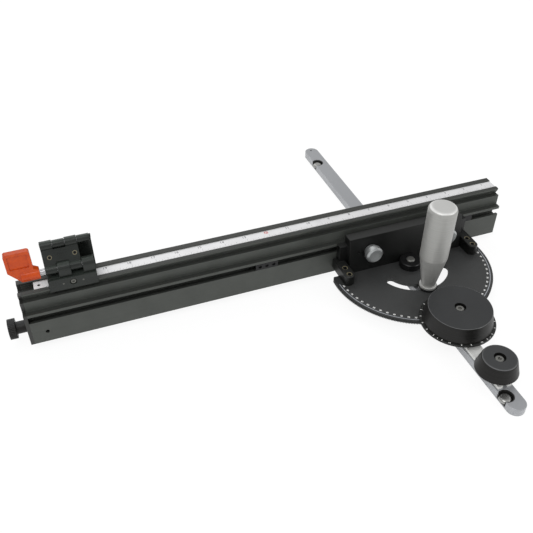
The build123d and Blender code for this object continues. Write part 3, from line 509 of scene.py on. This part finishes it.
def washers(centres, side, up, normal, inner, outer, thick, steps=24):
    """Flat rings as closed solids: each is a rectangle turned about its centre.

    The section runs from inner to outer radius and thick along the normal; side and up span the
    ring's plane.
    """
    turn = np.linspace(0, 2 * np.pi, steps, endpoint=False)[None, :, None, None]
    radius = np.array([inner, outer, outer, inner])[None, None, :, None]
    rise = np.array([-thick, -thick, thick, thick])[None, None, :, None] / 2
    side, up, normal = (np.asarray(axis, float)[None, None, None, :] for axis in (side, up, normal))
    rim = radius * (np.cos(turn) * side + np.sin(turn) * up) + rise * normal
    verts = (np.asarray(centres, float)[:, None, None, :] + rim).reshape(-1, 3)
    step = np.arange(steps)[:, None]
    edge = np.arange(4)[None]
    row, beside = step * 4, (step + 1) % steps * 4
    after = (edge + 1) % 4
    quad = np.stack([row + edge, row + after, beside + after, beside + edge], axis=2)
    quad = quad.reshape(-1, 4)[:, ::-1]
    faces = (quad[None] + 4 * steps * np.arange(len(centres))[:, None, None]).reshape(-1, 4)
    return verts, faces


class GaugeSettings(bpy.types.PropertyGroup):
    """Sizes and colours that a user would change."""

    figure_height: FloatProperty(
        name="Figure height", description="Height of the figures on the protractor plate",
        default=2.0 * MM, min=0.5 * MM, max=6 * MM, unit="LENGTH", precision=5,
    )
    degree_step: IntProperty(
        name="Degrees per figure", description="Degrees from one figure of the plate to the next",
        default=5, min=5, max=15,
    )
    ruler_zero: FloatProperty(
        name="Ruler zero", description="Place of the ruler's zero along the fence",
        default=148.0 * MM, unit="LENGTH", precision=5,
    )
    backdrop: FloatVectorProperty(
        name="Backdrop", description="Colour of the floor and backdrop",
        default=linear("#ffffff")[:3], subtype="COLOR", min=0.0, max=1.0,
    )
    key_power: FloatProperty(
        name="Key light", description="Power of the large lamp above the gauge",
        default=9.0, min=0.0, unit="POWER",
    )


class GAUGE_OT_finishes(bpy.types.Operator):
    """Give every piece of the frame its finish"""

    bl_idname = "gauge.finishes"
    bl_label = "Finishes"

    def execute(self, context):
        make_finishes()
        for name, nodes in FINISHES.items():
            for node in nodes:
                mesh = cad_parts[node].data
                mesh.materials.clear()
                mesh.materials.append(bpy.data.materials[name])
        return {"FINISHED"}


class GAUGE_OT_plate_scale(bpy.types.Operator):
    """Print the degree scale on the protractor plate"""

    bl_idname = "gauge.plate_scale"
    bl_label = "Plate scale"

    def execute(self, context):
        settings = context.scene.gauge
        low, high = PLATE_TOP - INK_SINK, PLATE_TOP + INK_RISE
        start, end = np.radians(PLATE_LINE_GAP - 180), np.radians(-PLATE_LINE_GAP)
        steps = 181 - 2 * PLATE_LINE_GAP
        verts, faces = ring(PLATE_LINE_INNER, PLATE_LINE_OUTER, start, end, low, high, steps)
        put("plate_line", verts, faces, "pale_line", "head", "plate_black")
        values = np.arange(-PLATE_FIGURE_LAST, PLATE_FIGURE_LAST + 1, settings.degree_step)
        angles = np.radians(values - 90)
        spots = PLATE_FIGURE_R * np.stack([np.cos(angles), np.sin(angles)], axis=1)
        words = [str(abs(value)) for value in values]
        height = settings.figure_height
        verts, faces = figures(words, height, spots, angles + np.pi / 2, low, high, FIGURE_BOLD)
        put("plate_figures", verts, faces, "white_ink", "head", "plate_black")
        return {"FINISHED"}


class GAUGE_OT_dial_scale(bpy.types.Operator):
    """Print the divisions on the micro adjust dial"""

    bl_idname = "gauge.dial_scale"
    bl_label = "Dial scale"

    def execute(self, context):
        centre = (np.array(DIAL_LOW) + np.array(DIAL_HIGH))[:2] / 2
        top = DIAL_HIGH[2]
        low, high = top - INK_SINK, top + INK_RISE
        both = np.array([-1.0, 1.0])
        steps = np.arange(DIAL_STEP / 2, 360, DIAL_STEP)
        # The two steps that the figures stand on have no tick
        from_index = np.abs((steps + 180) % 360 - 180)
        steps = steps[np.abs(from_index - 1.5 * DIAL_STEP) > 1]
        half_steps = both * DIAL_HALF_TURN
        angles = np.radians(DIAL_INDEX + np.concatenate([steps, half_steps]))
        inner = np.repeat([DIAL_TICK_INNER, DIAL_HALF_INNER], [len(steps), len(half_steps)])
        rows = spokes(angles, inner, DIAL_TICK_OUTER, DIAL_TICK_WIDTH, centre)
        put("dial_ticks", *slabs(rows, low, high), "white_ink", "micro_knob", "dial_black")
        angles = np.radians(DIAL_INDEX + both * DIAL_FIGURE_TURN)
        spots = centre + DIAL_FIGURE_R * np.stack([np.cos(angles), np.sin(angles)], axis=1)
        words = ["1/2", "1/2"]
        turns = angles + np.pi / 2
        verts, faces = figures(words, DIAL_FIGURE_HEIGHT, spots, turns, low, high, FIGURE_BOLD)
        put("dial_figures", verts, faces, "white_ink", "micro_knob", "dial_black")
        return {"FINISHED"}


class GAUGE_OT_screw_rings(bpy.types.Operator):
    """Put the pale rim round each socket screw of the bracket and of the link"""

    bl_idname = "gauge.screw_rings"
    bl_label = "Screw rings"

    def execute(self, context):
        head = BRACKET_SCREW_R
        low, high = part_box("bracket_screws")
        ends = (low[0] + head, high[0] - head)
        centres = [(x, y, high[2]) for x in ends for y in (low[1] + head, high[1] - head)]
        inner = BRACKET_RIM_SHARE * head
        verts, faces = washers(
            centres, (1, 0, 0), (0, 1, 0), (0, 0, 1), inner, head, BRACKET_RIM_THICK
        )
        put("bracket_screw_rings", verts, faces, "brass_ring", "head", "black_steel")

        head = LINK_SCREW_R
        low, high = np.array(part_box("link_screws"))
        middle = (low + high) / 2
        pin_low = np.mean(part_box("cam_shaft"), axis=0)
        pin_high = np.mean(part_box("high_hinge_pin"), axis=0)
        run = (pin_high - pin_low)[1:]
        run = run / np.linalg.norm(run)
        normal = np.array([0.0, -run[1], run[0]])
        face = middle + normal * LINK_SCREW_LENGTH / 2
        centres = [(x, face[1], face[2]) for x in (low[0] + head, high[0] - head)]
        inner = LINK_RIM_SHARE * head
        verts, faces = washers(
            centres, (1, 0, 0), (0, run[0], run[1]), -normal, inner, head, LINK_RIM_THICK
        )
        put("link_screw_rings", verts, faces, "brass_ring", "link", "black_steel")
        return {"FINISHED"}


class GAUGE_OT_ruler_scale(bpy.types.Operator):
    """Print the inch scale on the ruler"""

    bl_idname = "gauge.ruler_scale"
    bl_label = "Ruler scale"

    def execute(self, context):
        zero = context.scene.gauge.ruler_zero
        left, front, _ = RULER_LOW
        right, back, top = RULER_HIGH
        low, high = top - INK_SINK, top + RULER_INK_RISE
        sixteenth = INCH / 16
        first = int(np.ceil((zero - right + TICK_END_RIGHT) / sixteenth))
        last = int(np.floor((zero - left - TICK_END_LEFT) / sixteenth))
        steps = np.arange(first, last)
        places = zero - steps * sixteenth
        on_division = [steps % count == 0 for count in (16, 8, 4, 2)]
        reach = np.select(on_division, TICK_LENGTHS, TICK_SHORT) * MM
        edge = front + TICK_EDGE
        near = np.full_like(places, edge)
        far = edge + reach
        right_side, left_side = places + TICK_WIDTH / 2, places - TICK_WIDTH / 2
        rows = np.stack(
            [
                np.stack([left_side, near], axis=1),
                np.stack([right_side, near], axis=1),
                np.stack([right_side, far], axis=1),
                np.stack([left_side, far], axis=1),
            ],
            axis=1,
        )
        put("ruler_ticks", *slabs(rows, low, high), "grey_ink", "fence", "ruler_silver")
        low_end, high_end = left + INCH_FIGURE_END_LEFT, right - INCH_FIGURE_END_RIGHT
        inches = [i for i in range(1, INCH_FIGURE_COUNT) if low_end < zero - i * INCH < high_end]
        row = back - INCH_FIGURE_BACK
        for name, chosen, ink, bold in (
            ("ruler_figures", [i for i in inches if i % 12], "grey_ink", 0.0),
            ("ruler_foot", [i for i in inches if i % 12 == 0], "red_ink", FOOT_BOLD),
        ):
            spots = [(zero - i * INCH - INCH_FIGURE_BESIDE, row) for i in chosen]
            words = [str(i) for i in chosen]
            turns = [0.0] * len(chosen)
            verts, faces = figures(words, INCH_FIGURE_HEIGHT, spots, turns, low, high, bold)
            put(name, verts, faces, ink, "fence", "ruler_silver")
        return {"FINISHED"}


class GAUGE_OT_stage(bpy.types.Operator):
    """Set the floor, the lamps and the camera"""

    bl_idname = "gauge.stage"
    bl_label = "Stage"

    def execute(self, context):
        scene = context.scene
        settings = scene.gauge
        scene.view_settings.view_transform = "Standard"
        backdrop = (*settings.backdrop, 1.0)

        material, tree = blank("studio_floor")
        path = add(tree, "LightPath")
        direct = add(tree, "Math", {0: path.outputs["Is Camera Ray"], 1: 0.86}, operation="MULTIPLY")
        mirrored = add(tree, "Math", {0: path.outputs["Is Glossy Ray"], 1: 0.72}, operation="MULTIPLY")
        share = add(tree, "Math", {0: direct.outputs[0], 1: mirrored.outputs[0]}, operation="MAXIMUM")
        matte = add(tree, "BsdfDiffuse", {"Color": backdrop})
        glow = add(tree, "Emission", {"Color": backdrop, "Strength": 1.04})
        both = add(tree, "MixShader", {0: share.outputs[0], 1: matte.outputs[0], 2: glow.outputs[0]})
        add(tree, "OutputMaterial", {"Surface": both.outputs[0]})
        mesh = bpy.data.meshes.new("floor")
        signs = ((-1, -1), (1, -1), (1, 1), (-1, 1))
        corners = [(x * FLOOR_REACH, y * FLOOR_REACH, 0) for x, y in signs]
        mesh.from_pydata(corners, [], [(0, 1, 2, 3)])
        mesh.materials.append(material)
        floor = bpy.data.objects.new("floor", mesh)
        scene.collection.objects.link(floor)
        floor.location.z = -FLOOR_DROP

        world = bpy.data.worlds.new("studio")
        scene.world = world
        world.use_nodes = True
        tree = world.node_tree
        tree.nodes.clear()
        path = add(tree, "LightPath")
        rays = {0: path.outputs["Is Camera Ray"], 1: path.outputs["Is Transmission Ray"]}
        seen = add(tree, "Math", rays, operation="MAXIMUM")
        level = add(tree, "MapRange", {"Value": seen.outputs[0], "To Min": 0.62, "To Max": 1.0})
        sky = add(tree, "Background", {"Color": backdrop, "Strength": level.outputs[0]})
        add(tree, "OutputWorld", {"Surface": sky.outputs[0]})

        for name, spot, aim, size, power in (
            ("key_lamp", (-0.9, -0.7, 1.5), (-0.1, 0.0, 0.05), 1.0, settings.key_power),
            ("fill_lamp", (1.1, -0.9, 0.9), (0.0, 0.0, 0.05), 0.6, settings.key_power * 0.5),
            ("back_lamp", (-0.2, 1.3, 1.2), (-0.1, 0.0, 0.05), 1.2, settings.key_power * 0.5),
        ):
            lamp = bpy.data.lights.new(name, "AREA")
            lamp.energy = power
            lamp.size = size
            holder = bpy.data.objects.new(name, lamp)
            scene.collection.objects.link(holder)
            back = np.array(spot) - np.array(aim)
            back /= np.linalg.norm(back)
            side = np.cross((0, 0, 1), back)
            side /= np.linalg.norm(side)
            turn = np.column_stack([side, np.cross(back, side), back])
            holder.matrix_world = Matrix.Translation(spot) @ Matrix(turn.tolist()).to_4x4()

        azimuth, elevation, roll = np.radians([CAMERA_AZIMUTH, CAMERA_ELEVATION, CAMERA_ROLL])
        flat = np.cos(elevation)
        ahead = np.array([np.sin(azimuth) * flat, np.cos(azimuth) * flat, -np.sin(elevation)])
        sideways = np.array([np.cos(azimuth), -np.sin(azimuth), 0.0])
        upright = np.cross(sideways, ahead)
        side = sideways * np.cos(roll) + upright * np.sin(roll)
        top = upright * np.cos(roll) - sideways * np.sin(roll)
        camera = bpy.data.cameras.new("camera")
        camera.lens = 46.21
        camera.sensor_width = 36.0
        camera.shift_x = -0.0022
        camera.shift_y = -0.0005
        camera.clip_start = 0.01
        holder = bpy.data.objects.new("camera", camera)
        scene.collection.objects.link(holder)
        turn = Matrix(np.column_stack([side, top, -ahead]).tolist())
        holder.matrix_world = Matrix.Translation(CAMERA_SPOT) @ turn.to_4x4()
        scene.camera = holder
        return {"FINISHED"}


class GAUGE_PT_panel(bpy.types.Panel):
    """Lists the steps that dress the gauge"""

    bl_idname = "GAUGE_PT_panel"
    bl_label = "Miter Gauge"
    bl_space_type = "VIEW_3D"
    bl_region_type = "UI"
    bl_category = "Miter Gauge"

    def draw(self, context):
        for name in GaugeSettings.__annotations__:
            self.layout.prop(context.scene.gauge, name)
        for step in STEPS:
            self.layout.operator(step.bl_idname)


STEPS = (
    GAUGE_OT_finishes,
    GAUGE_OT_plate_scale,
    GAUGE_OT_dial_scale,
    GAUGE_OT_screw_rings,
    GAUGE_OT_ruler_scale,
    GAUGE_OT_stage,
)
CLASSES = (GaugeSettings, *STEPS, GAUGE_PT_panel)


def register():
    for made in CLASSES:
        bpy.utils.register_class(made)
    bpy.types.Scene.gauge = PointerProperty(type=GaugeSettings)


def unregister():
    del bpy.types.Scene.gauge
    for made in reversed(CLASSES):
        bpy.utils.unregister_class(made)


def main():
    register()
    for step in STEPS:
        group, name = step.bl_idname.split(".")
        getattr(getattr(bpy.ops, group), name)()


if __name__ == "__main__":
    main()
